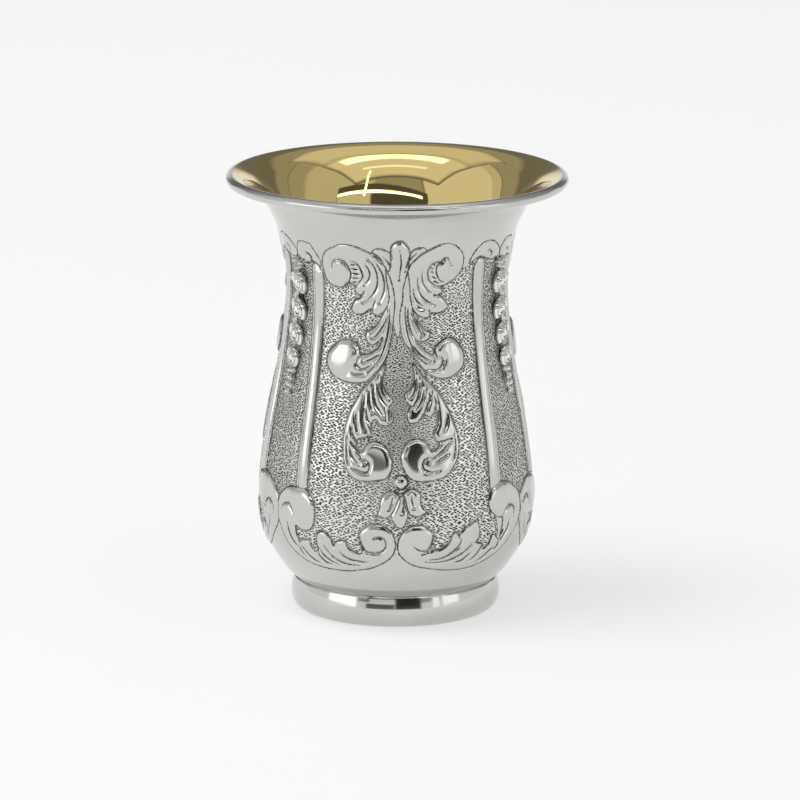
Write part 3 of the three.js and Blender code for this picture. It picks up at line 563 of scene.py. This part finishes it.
def stroke_distance(points, reach, half_width, closed):
    """Cells of the panel within `reach` of a line, their distance from it in mm over the
    wall, and, for a closed line, which of them are inside. None where it misses the panel."""
    line = np.array(points, float)
    lo, hi = line[:, 0].min(), line[:, 0].max()
    side = math.degrees(reach / LEAST_RADIUS)
    if hi < across[0] - side or lo > across[-1] + side:
        return None
    line = np.stack([line[:, 0], run_at_height(line[:, 1])], 1)
    degree = math.radians(1) * MEAN_RADIUS
    line = smooth_through(line * (degree, 1), 0.3, closed) / (degree, 1)
    columns = np.flatnonzero((across > line[:, 0].min() - side) & (across < line[:, 0].max() + side))
    rows = np.flatnonzero((up > line[:, 1].min() - reach) & (up < line[:, 1].max() + reach))
    if not len(columns) or not len(rows):
        return None
    distance = np.empty((len(rows), len(columns)))
    inside = np.zeros((len(rows), len(columns)), bool)
    half = np.asarray(half_width)
    if half.ndim:
        half = np.interp(np.linspace(0, 1, len(line) - 1), np.linspace(0, 1, len(half)), half)
    for i, row in enumerate(rows):
        x = (line[:, 0] - across[columns, None]) * math.radians(1) * panel_radius[row]
        y = line[:, 1] - up[row]
        ax, ay, dx, dy = x[:, :-1], y[:-1], np.diff(x), np.diff(y)
        t = np.clip(-(ax * dx + ay * dy) / (dx * dx + dy * dy + 1e-12), 0, 1)
        distance[i] = (np.hypot(ax + t * dx, ay + t * dy) - half).min(1)
        if closed:
            crosses = (y[:-1] > 0) != (y[1:] > 0)
            meets = ax - ay * dx / np.where(dy == 0, 1e-12, dy) > 0
            inside[i] = (crosses & meets).sum(1) % 2 == 1
    return np.ix_(rows, columns), distance, inside


def on_panel(points, reach, half_width=0.0, closed=False):
    """A line as it falls on this panel from its own place and from both neighbours."""
    for turn in (-PANEL, 0, PANEL):
        found = stroke_distance([(a + turn, z) for a, z in points], reach, half_width, closed)
        if found is not None:
            yield found


def ease(t):
    """0 up to 0, 1 from 1 on, smooth between."""
    t = np.clip(t, 0, 1)
    return t * t * (3 - 2 * t)


DOME_PASSES = 600                # that build the swelling up
DOME_FULLNESS = 0.7              # below 1, it is fuller near its edge


def domed(inside):
    """A smooth swelling over the inside of an outline, 1 at its highest."""
    u = np.zeros(inside.shape)
    for _ in range(DOME_PASSES):
        around = np.zeros(inside.shape)
        around[1:-1, 1:-1] = u[:-2, 1:-1] + u[2:, 1:-1] + u[1:-1, :-2] + u[1:-1, 2:]
        u = np.where(inside, around / 4 + 1, 0)
    return (u / max(u.max(), 1)) ** DOME_FULLNESS


FAR = 3.0                        # stands for any distance beyond the reach of a line
FORM_REACH, STROKE_REACH = 2.6, 1.5
COVER = 0.2                      # a form hides the lines below it from this far inside

shape = (ROWS + 1, COLUMNS + 1)
relief = np.zeros(shape)         # height of the raised forms
outline = np.full(shape, FAR)    # mm from the nearest outline, negative inside a form
chased = np.full(shape, FAR)     # mm from the edge of the nearest chased line
field = np.full(shape, -FAR)     # mm inside the matted fields
groove = np.zeros(shape)         # depth of the chased lines

for (crown, shoulder, dome, outlined), points in RAISED:
    for at, distance, inside in on_panel(points, FORM_REACH, closed=True):
        depth = np.where(inside, distance, 0)
        lift = crown * (1 - np.exp(-(depth / shoulder) ** 2)) + dome * domed(inside)
        if outlined:
            # a form laid over another hides what it covers
            relief[at] = np.where(inside, lift, relief[at])
            chased[at] = np.where(inside & (distance > COVER), FAR, chased[at])
            chased[at] = np.minimum(chased[at], distance - outlined * LINE_HALF_WIDTH)
        else:
            relief[at] += lift
        outline[at] = np.minimum(outline[at], np.where(inside, -distance, distance))

for points in WIDE_FIELD, NARROW_FIELD:
    for at, distance, inside in on_panel(points, FORM_REACH, closed=True):
        field[at] = np.maximum(field[at], np.where(inside, distance, -distance))

SWELL = np.array([0.35, 0.8, 1.0, 1.1, 1.0, 0.8, 0.35])  # width of a stroke, from end to end
for strokes, half_width in ((VEINS, LINE_HALF_WIDTH), (FILLETS, 0.5 * LINE_HALF_WIDTH),
                            (HATCHING, LINE_HALF_WIDTH)):
    for points in strokes:
        for at, distance, _ in on_panel(points, STROKE_REACH, half_width * SWELL):
            cut = LINE_DEPTH * np.exp(-(np.maximum(distance, 0) / LINE_SIDE) ** 2)
            groove[at] = np.maximum(groove[at], cut)
            chased[at] = np.minimum(chased[at], distance)

matted = np.minimum(field, outline)      # mm inside the matting, beyond every raised form
height = relief - groove - GROUND_DROP * ease((matted - GROUND_EDGE[0]) / GROUND_EDGE[1])
height -= CREASE_DEPTH * np.exp(-(np.abs(outline) / CREASE_WIDTH) ** 2)
height *= ease((up - up[0]) / CHASING_FADE)[:, None] * ease((up[-1] - up) / CHASING_FADE)[:, None]

# Painted shade darkens the matting in three places: behind each husk drop, which
# hangs near a seam between panels, as shade with some tarnish; all over the narrow
# field; and in the heart, a painted reflection of the dark gap in front of the cup.
DROP_PLACE = 62.5                        # degrees round
DROP_LOW, DROP_HIGH = 45, 69             # heights that it reaches down and up to
DROP_FADES = (4, 1.5)                    # mm that it takes to darken, from below and from above
DROP_SHADE_AND_SOOT, NARROW_SHADE, HEART_SHADE = 0.6, 0.29, 0.38     # how black each is
DROP_SHADE_WIDTH = 2.2 / 0.38             # half width in degrees: 0.38 mm each at the waist
NARROW_FROM, NARROW_FADE = 49, 1.5       # degrees either side of the panel's middle
SHADE_EDGE = 0.3                          # mm over which it fades in beside a raised form
HEART_PLACE, HEART_SIZE = (1, 42.5), (9, 7.5)    # degrees round and height; degrees and mm

from_drop = (across - DROP_PLACE + PANEL / 2) % PANEL - PANEL / 2
behind = np.exp(-(from_drop / DROP_SHADE_WIDTH) ** 4)
above_foot = ease((up - run_at_height(DROP_LOW)) / DROP_FADES[0])
below_top = ease((run_at_height(DROP_HIGH) - up) / DROP_FADES[1])
drop_shade_and_soot = DROP_SHADE_AND_SOOT * (above_foot * below_top)[:, None] * behind
narrow = ease((np.abs((across + PANEL / 2) % PANEL - PANEL / 2) - NARROW_FROM) / NARROW_FADE)
heart_across = (across - HEART_PLACE[0]) / HEART_SIZE[0]
heart_up = (up[:, None] - run_at_height(HEART_PLACE[1])) / HEART_SIZE[1]
heart = np.exp(-(heart_across ** 2 + heart_up ** 2) ** 2)
painted_shade_and_soot = np.maximum(drop_shade_and_soot, np.maximum(NARROW_SHADE * narrow, HEART_SHADE * heart))
painted_shade_and_soot *= ease(matted / SHADE_EDGE)


def panel_points(middle):
    """Points and normals of the panel whose middle is `middle` degrees round."""
    pad = np.hstack([height[:, -2:-1], height, height[:, 1:2]])
    step = across[1] - across[0]
    angle = np.radians(middle + np.concatenate([[across[0] - step], across, [across[-1] + step]]))
    radius = panel_curve[:, :1] + pad * panel_normals[:, :1]
    z = panel_curve[:, 1:] + pad * panel_normals[:, 1:]
    points = np.stack([radius * np.sin(angle), -radius * np.cos(angle), z], -1)
    normals = np.cross(np.gradient(points, axis=1), np.gradient(points, axis=0))
    normals /= np.linalg.norm(normals, axis=2)[..., None]
    return points[:, 1:-1], normals[:, 1:-1]


def store(piece, key, values):
    """Keeps a number at each point of a piece, for its material to read."""
    piece.data.attributes.new(key, "FLOAT", "POINT").data.foreach_set(
        "value", values.astype(np.float32).ravel())


CHASED_ROUGHNESS = 0.13
# colour of the black: tarnish in the lines and punch strokes, and painted shade beside the forms and where
# shade is stored
TARNISH_AND_SHADE = (0.045, 0.042, 0.038)
MATTED_LIT_TONE = (0.74, 0.735, 0.70)        # the matting, painted lighter than the plain silver for the softbox light that it scatters
PUNCH_LEANS = (0.95, -0.7)               # radians: the strokes lean one way, then the other
PUNCHES_PER_MM = (1.5, 2.5, 1)           # along a stroke and across it


def chased_silver(name, tone):
    """Silver, matted with short strokes of a tracing punch, blackened and rubbed back, and darkened with
    painted shade beside raised forms and where shade is stored.
    """
    material, shader, nodes = metal(name)
    tree, add, calc, fade, blend = nodes
    place, cloud, bright, smooth = hand_polish(nodes, tone, CHASED_ROUGHNESS)

    def noise(vector, scale, detail):
        return add("TexNoise", {"Vector": vector, "Scale": scale, "Detail": detail})

    def stored(key):
        return add("Attribute", attribute_name=key).outputs["Fac"]

    def punched(lean):
        """0 in the middle of a punch stroke, the strokes lying at `lean`."""
        laid = add("Mapping", {"Vector": bent, "Rotation": (0, 0, lean), "Scale": PUNCHES_PER_MM})
        return add("TexVoronoi", {"Vector": laid.outputs[0], "Scale": 1.0, "Randomness": 0.6},
                   voronoi_dimensions="2D").outputs["Distance"]

    # chased lines, cut in short blows, and faint in places
    blows = calc("MULTIPLY_ADD", noise(place, 1900, 1).outputs[0], -0.24, 0.12)
    line = calc("SUBTRACT", 1, fade(calc("ADD", stored("line"), blows), -0.03, 0.08))
    faint = noise(place, 210, 1).outputs[0]
    line = calc("MULTIPLY", line, calc("MULTIPLY_ADD", fade(faint, 0.35, 0.6), 0.25, 0.75))
    # punch strokes: rows of short dashes that lean one way, then the other
    plan = add("Attribute", attribute_name="plan").outputs["Vector"]
    drift = noise(plan, 0.22, 1)
    sway = add("VectorMath", {0: drift.outputs["Color"], 1: (1.6, 1.6, 0)}, operation="MULTIPLY")
    bent = add("VectorMath", {0: plan, 1: sway.outputs[0]}, operation="ADD").outputs[0]
    first, second = (punched(lean) for lean in PUNCH_LEANS)
    share = fade(drift.outputs[0], 0.44, 0.56)
    stroke = calc("ADD", calc("MULTIPLY", first, share),
                  calc("MULTIPLY", second, calc("SUBTRACT", 1, share)))
    uneven = noise(plan, 0.9, 2).outputs[0]
    stroke = calc("ADD", stroke, calc("MULTIPLY_ADD", uneven, -0.16, 0.08))
    ground = fade(stored("matted"), -0.02, 0.16)
    dash = calc("MULTIPLY", calc("SUBTRACT", 1, fade(stroke, 0.24, 0.46)), ground)
    # black stays in these; beside each raised form the corner is darkened, partly black
    # left there and partly painted shade; painted shade, with some soot behind the drops,
    # is added where it is stored; all is rubbed off unevenly
    corner_black_and_shade = calc("MULTIPLY", calc("SUBTRACT", 1, fade(stored("matted"), 0.05, 0.7)), ground)
    dark = calc("MAXIMUM", line, calc("MAXIMUM", dash, calc("MULTIPLY", corner_black_and_shade, 0.5)))
    dark = calc("MAXIMUM", dark, calc("MULTIPLY", stored("painted_shade_and_soot"), 0.85))
    black = calc("MULTIPLY", dark, calc("MULTIPLY_ADD", cloud, 0.4, 0.75), clamp=True)
    tree.links.new(blend(black, blend(ground, bright, MATTED_LIT_TONE), TARNISH_AND_SHADE), shader.inputs["Base Color"])
    rough = calc("ADD", smooth, calc("MULTIPLY", black, 0.3))
    tree.links.new(calc("ADD", rough, calc("MULTIPLY", ground, 0.08)), shader.inputs["Roughness"])
    pit = calc("MULTIPLY", fade(stroke, 0.1, 0.6), ground)
    bump = add("Bump", {"Height": pit, "Strength": 0.7, "Distance": 0.0001})
    tree.links.new(bump.outputs[0], shader.inputs["Normal"])
    return material


chased_finish = chased_silver("chased_silver", SILVER)
for name, middle in (("chased_panel_front", 0), ("chased_panel_right", 120), ("chased_panel_left", 240)):
    points, normals = panel_points(middle)
    panel = add_piece(name, points.reshape(-1, 3), normals.reshape(-1, 3), quads_of(*shape),
                      chased_finish, "chased_silver")
    plan = np.zeros((*shape, 3))         # the wall laid out flat, in millimetres
    plan[..., 0] = np.radians(middle + across) * MEAN_RADIUS
    plan[..., 1] = up[:, None]
    panel.data.attributes.new("plan", "FLOAT_VECTOR", "POINT").data.foreach_set(
        "vector", plan.astype(np.float32).ravel())
    store(panel, "line", chased)
    store(panel, "matted", matted)
    store(panel, "painted_shade_and_soot", painted_shade_and_soot)

# ---------------------------------------------------------------------------
# Gilt lining. The inside of the bowl is gilded up to the very top of the lip
# and burnished bright. It is a thin plating that lies on the silver wall.
# ---------------------------------------------------------------------------
FLOOR_HEIGHT = 7.6
LINING_SIDES = 240
GILT, GILT_CLOUD = (0.86, 0.69, 0.295), (0.82, 0.65, 0.265)

# (radius, height) of the inside, from the top of the lip down to the floor
LINING_CURVE = [
    (31.08, 83.95), (30.3, 83.76), (29.33, 83.38), (27.87, 82.51), (26.67, 81.47), (25.58, 80.29),
    (24.66, 79.08), (23.87, 77.88), (23.15, 76.63), (22.53, 75.32), (22.04, 73.96), (21.63, 72.59),
    (20.98, 69.84), (20.49, 64.87), (20.6, 59.95), (21.11, 55.07), (21.77, 50.22), (22.57, 45.4),
    (23.45, 40.6), (24.33, 35.82), (25.07, 31.03), (25.6, 26.24), (25.66, 21.46), (25.09, 16.74),
    (23.32, 12.44), (21.2, 9.7), (19.4, 8.3), (17, 7.65), (12, FLOOR_HEIGHT), (0.01, FLOOR_HEIGHT)]


def gilding():
    """Burnished gold plating over the hammered wall."""
    material, shader, nodes = metal("gilding")
    tree, add, calc, fade, blend = nodes
    place = add("TexCoord").outputs["Object"]
    cloud = add("TexNoise", {"Vector": place, "Scale": 60, "Detail": 3}).outputs[0]
    tree.links.new(blend(fade(cloud, 0.25, 0.8), GILT_CLOUD, GILT), shader.inputs["Base Color"])
    tree.links.new(calc("MULTIPLY_ADD", cloud, 0.03, 0.02), shader.inputs["Roughness"])
    swell = add("Bump", {"Height": cloud, "Strength": 0.04, "Distance": 0.0004})
    tree.links.new(swell.outputs[0], shader.inputs["Normal"])
    return material


lining_curve = smooth_through(LINING_CURVE, 0.5)
turned("gilt_lining", lining_curve, outward(lining_curve), LINING_SIDES, gilding(), "chased_silver")

# ---------------------------------------------------------------------------
# Foot ring. A rolled band of silver, half round outside and hollow within,
# soldered under the bowl and polished brightest of all.
# ---------------------------------------------------------------------------
# (radius, height) from the solder line, down the outside and up the inside
FOOT_CURVE = [
    (18.9, 6.0), (19.25, 6.12), (19.45, 5.9), (19.6, 5.35), (19.74, 4.75), (19.84, 4.15),
    (19.92, 3.55), (19.94, 3.0), (19.9, 2.4), (19.78, 1.75), (19.52, 1.05), (19.1, 0.45),
    (18.5, 0.08), (17.9, 0.0), (17.3, 0.03), (16.9, 0.5), (17.0, 1.8), (17.2, 3.6), (17.2, 5.95)]

foot_curve = smooth_through(FOOT_CURVE, 0.2)[::-1]
foot = turned("foot_band", foot_curve, outward(foot_curve), SIDES,
              polished_silver("foot_silver", 0.09), "polished_silver")
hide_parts("foot_ring")

# ---------------------------------------------------------------------------
# Husk drops. Three strings of seed husks, cast in silver, one on each narrow
# panel: three buds, four husks that shrink downwards with small leaves beside
# them, and four beads, on a thin soldered strap and left black in their hollows.
# They are painted brighter than the wall's silver, their edges on the wall are
# painted dark as shade, and the strap is black: tarnish and painted shade between them.
# ---------------------------------------------------------------------------
# height of the middle, length, width, depth, sideways shift, lean in degrees
HUSKS = [
    # buds
    (69.4, 1.5, 1.4, 1.3, -0.8, 40), (69.2, 1.5, 1.4, 1.4, 0.7, -30), (68.2, 1.4, 1.7, 1.5, 0.0, 10),
    # husks
    (65.2, 4.9, 3.3, 1.3, 0.0, 20), (60.1, 4.8, 3.2, 1.3, 0.0, 28),
    (55.3, 4.7, 3.2, 1.2, 0.0, 28), (50.8, 4.1, 3.0, 1.2, 0.0, 20),
    # beads
    (48.2, 1.4, 1.9, 1.1, 0.2, 30), (46.9, 1.5, 1.7, 1.0, -0.2, -35),
    (45.5, 1.5, 1.6, 1.0, 0.2, 35), (44.2, 1.4, 1.3, 0.9, -0.1, -30),
    # leaves
    (62.6, 1.7, 1.1, 1.0, -1.2, -20), (57.6, 1.7, 1.1, 0.9, -1.2, -20), (66.0, 2.2, 1.0, 1.6, -1.9, 0)]
HUSK_RINGS, HUSK_SIDES = 44, 72
HUSK_LIFT = 0.12                 # the husks lie this far out on their strap
TIP = 0.21                       # slope of a husk, whose top stands off the wall
SUNK = 0.05                      # how far the back of the casting sinks into the ground
ASKEW = 0.14                     # the drop hangs askew by this many degrees for each mm
ASKEW_BELOW = 60                 # below this height
STRAP_MIDDLE = 57.0
STRAP_REACH = 11.6               # up and down from its middle
STRAP_WIDTH, STRAP_DEPTH = 1.2, 0.4
STRAP_RINGS, STRAP_SIDES = 60, 24
BLACK = -0.2                     # stored on the strap, as deep in a chased line: tarnish, and painted shade between the husks
NO_MATTING = -1.0                # stored all over the casting
# the husks' silver, painted brighter than the wall's, as if they caught more light
CAST_LIT_TONE = (0.84, 0.835, 0.80)


def husk(length, width, depth):
    """A husk pointed at both ends: two thin shells laid round a seed, with black
    grooves between. Gives its points (across, outward, up) and how far each is
    from black: a black hollow, or the edge where it meets the wall, painted dark as shade."""
    out = np.linspace(0, 1, HUSK_RINGS)[:, None] ** 0.9
    around = np.linspace(-math.pi, math.pi, HUSK_SIDES, endpoint=False)[None]

    def band(middle, half_width):
        """1 on a ring this share of the way out, fading to both sides of it."""
        return np.exp(-((out - middle) / half_width) ** 2)

    flank = 0.4 + 0.6 * np.abs(np.cos(around))           # the grooves are faint at both points
    hollow = (band(0.74, 0.06) + band(0.44, 0.07)) * flank
    shells = 0.16 * band(0.87, 0.06) + 0.16 * band(0.6, 0.07)
    seed = 0.16 * band(0, 0.26)
    rise = 0.72 * np.sqrt(1 - 0.97 * out ** 2) + shells + seed - 0.26 * hollow
    side = np.cos(around)
    x = width / 2 * out * side * np.abs(side) ** (0.35 + 0.45 * np.sin(around) ** 2)
    z = length / 2 * out * np.sin(around)
    y = depth * rise + TIP * (length / 2 + z)
    y[-1] = -0.2                          # the last ring meets the wall
    # black in the grooves; the ring where the husk meets the wall is painted dark as shade
    black = 0.3 - 0.62 * hollow - 0.5 * (out > 0.99)
    return np.stack([x, y, z], -1), black * np.ones_like(x)


def strap():
    """The strap behind the husks, pointed at both ends and knotted along its length."""
    rise = np.linspace(-STRAP_REACH, STRAP_REACH, STRAP_RINGS)[:, None]
    turn = np.linspace(-math.pi, math.pi, STRAP_SIDES, endpoint=False)[None]
    taper = np.minimum(1, (STRAP_REACH + 0.1 - np.abs(rise)) / 1.5) ** 0.5
    knots = 1 + 0.25 * np.sin(rise * 2.9)
    return np.stack([STRAP_WIDTH / 2 * taper * knots * np.sin(turn),
                     STRAP_DEPTH * taper * knots * np.cos(turn) + 0.05,
                     rise * np.ones_like(turn)], -1).reshape(-1, 3)


cast_lit_finish = chased_silver("cast_silver", CAST_LIT_TONE)


def drop_piece(name, node, middle):
    """One whole drop, hung `middle` degrees round."""
    verts, quads, black = [], [], []
    count = 0
    side = math.copysign(1, -middle)      # the right drop and the back one are mirrored

    def lay(local, height, rows, columns, hollow):
        """Sets points given as (across, outward, up from `height`) on the wall."""
        nonlocal count
        at, normal = wall_at(run_at_height(height + local[:, 2]))
        out = local[:, 1] - GROUND_DROP - SUNK
        radius = at[:, 0] + out * normal[:, 0]
        drift = -side * ASKEW * max(0, ASKEW_BELOW - height)
        angle = math.radians(middle + drift) + local[:, 0] / at[:, 0]
        verts.append(np.stack([radius * np.sin(angle), -radius * np.cos(angle),
                               at[:, 1] + out * normal[:, 1]], 1))
        quads.append(quads_of(rows, columns, True) + count)
        black.append(hollow)
        count += len(local)

    for height, length, width, depth, shift, lean in HUSKS:
        points, hollow = husk(length, width, depth)
        c, d = math.cos(math.radians(lean)), math.sin(math.radians(lean)) * side
        x, y, z = points.reshape(-1, 3).T
        local = np.stack([x * c - z * d + shift * side, y + HUSK_LIFT, x * d + z * c], 1)
        lay(local, height, HUSK_RINGS, HUSK_SIDES, hollow.ravel())
    lay(strap(), STRAP_MIDDLE, STRAP_RINGS, STRAP_SIDES, np.full(STRAP_RINGS * STRAP_SIDES, BLACK))
    piece = add_piece(name, np.vstack(verts), None, np.vstack(quads), cast_lit_finish, "cast_silver")
    store(piece, "line", np.concatenate(black))
    store(piece, "matted", np.full(count, NO_MATTING))
    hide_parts(node)


for name, node, middle in (("husks_left", "husk_drop_left", -57.2),
                           ("husks_right", "husk_drop_right", 63.5),
                           ("husks_back", "husk_drop_back", 182.5)):
    drop_piece(name, node, middle)

# ---------------------------------------------------------------------------
# Floor, light and camera: a plain white table in a photographer's tent of
# stretched cloth, with softboxes and lamp strips behind the cloth.
# ---------------------------------------------------------------------------
FLOOR_RADIUS, FLOOR_SIDES = 3000, 64
FLOOR_TONES = ((0.38, 0.38, 0.379), (0.385, 0.385, 0.384))
FLOOR_GLOW = 0.58                        # light of its own, which keeps it nearly white


def floor_paint():
    """Matt white paint with a faint grain."""
    material = bpy.data.materials.new("floor_paint")
    tree, add, _, _, blend = nodes_of(material)
    shader = tree.nodes["Principled BSDF"]
    grain = add("TexNoise", {"Vector": add("TexCoord").outputs["Object"], "Scale": 40, "Detail": 2})
    tree.links.new(blend(grain.outputs[0], *FLOOR_TONES), shader.inputs["Base Color"])
    shader.inputs["Roughness"].default_value = 0.9
    shader.inputs["Specular IOR Level"].default_value = 0.1
    shader.inputs["Emission Color"].default_value = (1, 1, 1, 1)
    shader.inputs["Emission Strength"].default_value = FLOOR_GLOW
    return material


floor_curve = np.array([(FLOOR_RADIUS, 0), (1000, 0), (200, 0), (0.01, 0)], float)
floor_normals = np.tile((0, 1), (len(floor_curve), 1))
floor = turned("floor", floor_curve, floor_normals, FLOOR_SIDES, floor_paint(), None)

# What the cup sees in each direction. A panel stands facing one direction
# (degrees round, right of the camera is positive); its sides and its foot and
# top are measured on it as tangents. A panel with no direction is hung overhead
# and is measured to the right, and away from the camera.
BARE_CLOTH = 0.86                        # brightness of the tent where no panel stands
BACKDROP = 0.956                         # and of what the camera sees behind the cup
TENT_PANELS = [
    # facing, (from, to) sideways, (from, to) upwards, brightness, softness of its edge
    (None, (-4.0, 4.0), (-4.0, 4.0), 0.33, 0.4),       # the roof is dimmer than the walls
    (-60, (-1.7, 0.60), (0.2, 5.7), 0.12, 0.02),       # dark gap round the left cloth
    (-60, (-1.65, 0.56), (0.25, 5.5), 0.55, 0.03),     # its far end
    (-60, (-1.1, 0.56), (0.25, 5.5), 0.70, 0.04),      # lit cloth on the left
    (62, (-0.79, 1.9), (0.2, 4.7), 0.12, 0.02),        # dark gap round the right one
    (62, (-0.75, 1.85), (0.25, 4.5), 0.36, 0.04),      # its far end
    (62, (-0.75, 0.9), (0.25, 4.5), 0.54, 0.12),       # lit cloth on the right
    (-150, (-0.2, 0.2), (-0.05, 0.3), 0.25, 0.08),     # ends of the backdrop
    (150, (-0.2, 0.2), (-0.05, 0.3), 0.25, 0.08),
    (180, (-0.9, 0.9), (0.24, 0.78), 0.17, 0.1),       # dim back of the room
    (None, (-0.75, 0.75), (-0.70, 0.80), 0.13, 0.02),  # dark seam round the overhead sheets
    (None, (-0.7, 0.7), (0.05, 0.75), 0.66, 0.12),     # overhead sheet
    (None, (-0.7, 0.7), (-0.64, 0.05), 0.72, 0.05),    # and the one in front of it
    (None, (-0.42, 0.5), (-0.15, 0.0), 2.3, 0.03),     # lamp strip across it
    (None, (-0.34, 0.4), (-0.41, -0.35), 1.3, 0.02),   # thin lamp strip
    (20, (-1.3, 1.0), (0.42, 1.12), 0.085, 0.04),      # dark room above the gap
    (20, (-1.05, 0.98), (0.73, 0.85), 3.6, 0.02),      # long lamp tube
    (20, (0.14, 0.98), (0.28, 0.72), 0.6, 0.03),       # lit cloth under its right end
    (20, (0.25, 0.29), (0.62, 1.8), 3.0, 0.012),       # its stand
    (14, (-0.25, 0.26), (-0.4, 0.44), 0.03, 0.03),     # the gap the camera looks through
    (-16, (-0.29, 0.27), (-0.02, 0.12), 0.12, 0.03),   # slit beside it
    (-61, (-0.31, 0.31), (-0.3, 0.28), 1.9, 0.05),     # left softbox
    (46, (-0.07, 0.07), (-0.2, 0.28), 1.4, 0.03),      # right softbox, in two strips
    (64, (-0.18, 0.18), (-0.2, 0.28), 1.45, 0.03),
]


def tent_world():
    """Light from all round, as bright in each direction as the panel that stands there."""
    world = bpy.data.worlds.new("tent")
    bpy.context.scene.world = world
    tree, add, calc, fade, _ = nodes_of(world)
    way = add("SeparateXYZ", {0: add("TexCoord").outputs["Generated"]}).outputs

    def along(x, y):
        return calc("ADD", calc("MULTIPLY", way[0], x), calc("MULTIPLY", way[1], y))

    def between(value, low, high, soft):
        return calc("MULTIPLY", fade(value, low - soft, low + soft), fade(value, high + soft, high - soft))

    def over(level, share, brightness):
        """The level below, with a panel of this brightness over a share of it."""
        return calc("ADD", calc("MULTIPLY", share, calc("SUBTRACT", brightness, level)), level)

    level = BARE_CLOTH
    for facing, (left, right), (low, high), brightness, soft in TENT_PANELS:
        if facing is None:
            depth, aside, rise = way[2], way[0], way[1]
        else:
            turn = math.radians(facing)
            depth = along(math.sin(turn), -math.cos(turn))
            aside, rise = along(math.cos(turn), math.sin(turn)), way[2]
        depth = calc("MAXIMUM", depth, 0.001)
        within = calc("MULTIPLY", between(calc("DIVIDE", aside, depth), left, right, soft),
                      between(calc("DIVIDE", rise, depth), low, high, soft))
        level = over(level, within, brightness)
    back = tree.nodes["Background"]
    back.inputs["Color"].default_value = (1, 1, 1, 1)
    tree.links.new(over(level, add("LightPath").outputs["Is Camera Ray"], BACKDROP),
                   back.inputs["Strength"])


tent_world()

SOFTBOX_WIDTH, SOFTBOX_HEIGHT = 0.8, 0.7     # metres
SOFTBOX_PLACE = Vector((-0.5, -0.12, 1.05))
SOFTBOX_AIM = Vector((0, 0, 0.04))           # the middle of the cup
SOFTBOX_POWER = 6
lamp = bpy.data.lights.new("left_box", "AREA")
lamp.shape = "RECTANGLE"
lamp.size = SOFTBOX_WIDTH
lamp.size_y = SOFTBOX_HEIGHT
lamp.energy = SOFTBOX_POWER
softbox = bpy.data.objects.new("left_box", lamp)
bpy.context.scene.collection.objects.link(softbox)
softbox.location = SOFTBOX_PLACE
softbox.rotation_euler = (SOFTBOX_AIM - SOFTBOX_PLACE).to_track_quat("-Z", "Y").to_euler()
softbox.visible_glossy = False           # the silver sees the tent's cloth, not the lamp

PITCH = math.radians(13)                 # the camera looks down by this much
CAMERA_ROLL = math.radians(0.26)
CAMERA_DISTANCE = 1.150                  # metres
AIM = Vector((0, 0, 42.8)) * MM
LENS = 271.5
camera_data = bpy.data.cameras.new("camera")
camera = bpy.data.objects.new("camera", camera_data)
bpy.context.scene.collection.objects.link(camera)
towards = Vector((0, -math.cos(PITCH), math.sin(PITCH)))
camera.location = AIM + towards * CAMERA_DISTANCE
looking = (-towards).to_track_quat("-Z", "Y")
camera.rotation_euler = (looking @ Quaternion((0, 0, 1), CAMERA_ROLL)).to_euler()
camera_data.sensor_width = 36
camera_data.lens = LENS
camera_data.shift_x = 0.00475
camera_data.shift_y = -0.0191
camera_data.clip_start = 0.1
camera_data.clip_end = 20
bpy.context.scene.camera = camera
bpy.context.scene.view_settings.view_transform = "Standard"
